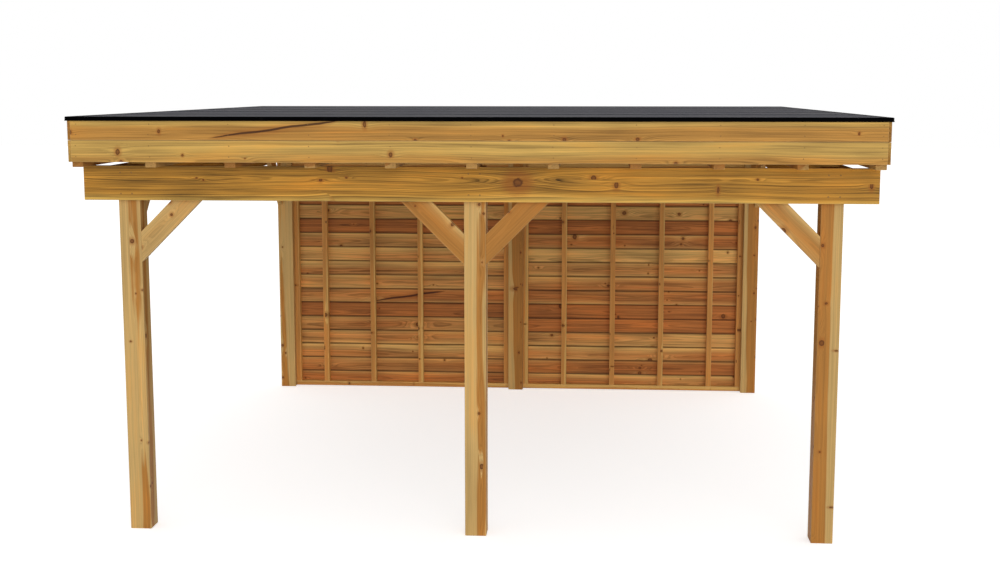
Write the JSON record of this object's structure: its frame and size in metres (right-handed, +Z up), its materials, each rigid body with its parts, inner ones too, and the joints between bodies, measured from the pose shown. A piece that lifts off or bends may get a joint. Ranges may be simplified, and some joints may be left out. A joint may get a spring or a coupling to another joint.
{
  "type": "freestanding veranda",
  "caption": "Open timber veranda with a flat roof on square posts with corner braces, a double-board fascia and a boarded rear wall between the back posts.",
  "frame": {"origin": "centre of the footprint on the ground, under the middle of the roof", "axes": "+Z up, the open front with the middle post faces -Y, the boarded rear wall is at +Y, +X is to the right seen from the front"},
  "size_m": [5.292, 5.342, 2.844],
  "materials": {
    "post_timber": "planed, two-toned sapwood and heartwood",
    "beam_timber": "planed, knotty",
    "brace_timber": "planed, knotty",
    "rafter_timber": "planed, pale sawn ends",
    "fascia_timber": "planed, knotty with resin streaks",
    "deck_timber": "sawn roof boards",
    "roof_felt": "matt dark grey roof covering",
    "roof_trim": "near-black, satin",
    "wall_frame_timber": "planed studs and rails",
    "wall_board_timber": "sawn boards of mixed tan and red-brown"
  },
  "bodies": {
    "root": {"post_front_left": "post_timber", "post_front_middle": "post_timber", "post_front_right": "post_timber", "post_back_left": "post_timber", "post_back_middle": "post_timber", "post_back_right": "post_timber", "header_front": "beam_timber", "header_back": "beam_timber", "side_beam_left": "beam_timber", "side_beam_right": "beam_timber", "brace_front_left": "brace_timber", "brace_front_middle_left": "brace_timber", "brace_front_middle_right": "brace_timber", "brace_front_right": "brace_timber", "brace_side_front_left": "brace_timber", "brace_side_front_right": "brace_timber", "brace_side_back_left": "brace_timber", "brace_side_back_right": "brace_timber", "rafter_1": "rafter_timber", "rafter_2": "rafter_timber", "rafter_3": "rafter_timber", "rafter_4": "rafter_timber", "rafter_5": "rafter_timber", "rafter_6": "rafter_timber", "rafter_7": "rafter_timber", "rafter_8": "rafter_timber", "rafter_9": "rafter_timber", "rafter_10": "rafter_timber", "rafter_11": "rafter_timber", "fascia_front": "fascia_timber", "fascia_back": "fascia_timber", "fascia_left": "fascia_timber", "fascia_right": "fascia_timber", "roof_deck": "deck_timber", "roof_covering": "roof_felt", "trim_front": "roof_trim", "trim_back": "roof_trim", "trim_left": "roof_trim", "trim_right": "roof_trim", "wall_frame_left": "wall_frame_timber", "wall_frame_right": "wall_frame_timber", "wall_boards_left": "wall_board_timber", "wall_boards_right": "wall_board_timber"}
  },
  "joints": []
}
